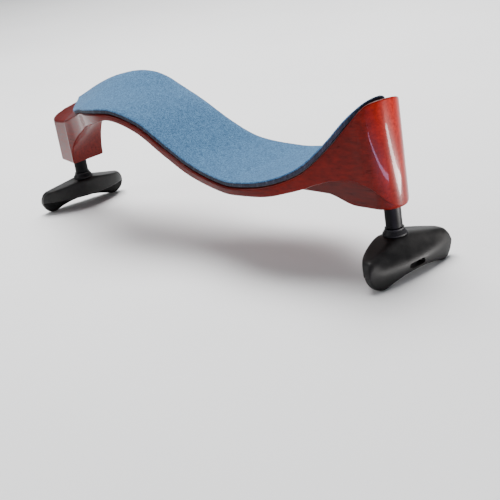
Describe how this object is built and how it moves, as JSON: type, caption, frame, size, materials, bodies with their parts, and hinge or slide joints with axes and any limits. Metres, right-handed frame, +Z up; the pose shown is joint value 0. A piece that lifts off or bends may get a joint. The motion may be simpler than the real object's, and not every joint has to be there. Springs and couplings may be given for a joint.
{
  "type": "violin shoulder rest",
  "caption": "S-shaped lacquered bar with a felt-covered foam pad on screw posts with swivelling rubber feet that grip a violin's back edge.",
  "frame": {"origin": "middle of the rest in plan, at the height of the feet's lowest points", "axes": "+Z up from the violin's back to the player's shoulder, +X along the rest to its tall end, +Y along the violin towards its scroll"},
  "size_m": [0.2153, 0.048, 0.0655],
  "materials": {
    "lacquered_wood": "high-gloss red-brown lacquer over carved maple",
    "insert_brass": "turned brass",
    "tape_film": "thin adhesive film",
    "foam_dark": "closed-cell foam with a cut edge",
    "pad_cloth": "short-napped blue felt cloth",
    "post_black": "satin black plated steel",
    "collar_nylon": "moulded black nylon",
    "core_nylon": "moulded dark nylon",
    "sleeve_rubber": "soft black moulded rubber",
    "small_steel": "bright spring steel"
  },
  "bodies": {
    "rest_bar": {"bar": "lacquered_wood", "left_insert": "insert_brass", "right_insert": "insert_brass", "pad_tape": "tape_film", "pad_foam": "foam_dark", "pad_cover": "pad_cloth"},
    "left_carriage": {"left_collar": "collar_nylon"},
    "left_screw": {"left_post": "post_black", "left_post_clip": "small_steel"},
    "left_foot": {"left_foot_core": "core_nylon", "left_foot_sleeve": "sleeve_rubber", "left_foot_washer": "small_steel"},
    "right_carriage": {"right_collar": "collar_nylon"},
    "right_screw": {"right_post": "post_black", "right_post_clip": "small_steel"},
    "right_foot": {"right_foot_core": "core_nylon", "right_foot_sleeve": "sleeve_rubber", "right_foot_washer": "small_steel"}
  },
  "joints": [
    {"name": "left_height", "type": "slide", "parent": "rest_bar", "child": "left_carriage", "axis": [0, 0, -1], "range_m": [0, 0.012]},
    {"name": "left_screw_turn", "type": "hinge", "parent": "left_carriage", "child": "left_screw", "pos_m": [-0.0966, 0, 0.017], "axis": [0, 0, -1], "range_deg": [0, 5400]},
    {"name": "left_swivel", "type": "hinge", "parent": "left_carriage", "child": "left_foot", "pos_m": [-0.0966, 0, 0.0145], "axis": [0, 0, 1], "range_deg": [-30, 30]},
    {"name": "right_height", "type": "slide", "parent": "rest_bar", "child": "right_carriage", "axis": [0, 0, -1], "range_m": [0, 0.012]},
    {"name": "right_screw_turn", "type": "hinge", "parent": "right_carriage", "child": "right_screw", "pos_m": [0.0966, 0, 0.017], "axis": [0, 0, -1], "range_deg": [0, 5400]},
    {"name": "right_swivel", "type": "hinge", "parent": "right_carriage", "child": "right_foot", "pos_m": [0.0966, 0, 0.0145], "axis": [0, 0, 1], "range_deg": [-30, 30]}
  ],
  "couplings": [
    {"joint": "left_screw_turn", "follows": "left_height", "rad_per_m": 7854},
    {"joint": "right_screw_turn", "follows": "right_height", "rad_per_m": 7854}
  ]
}
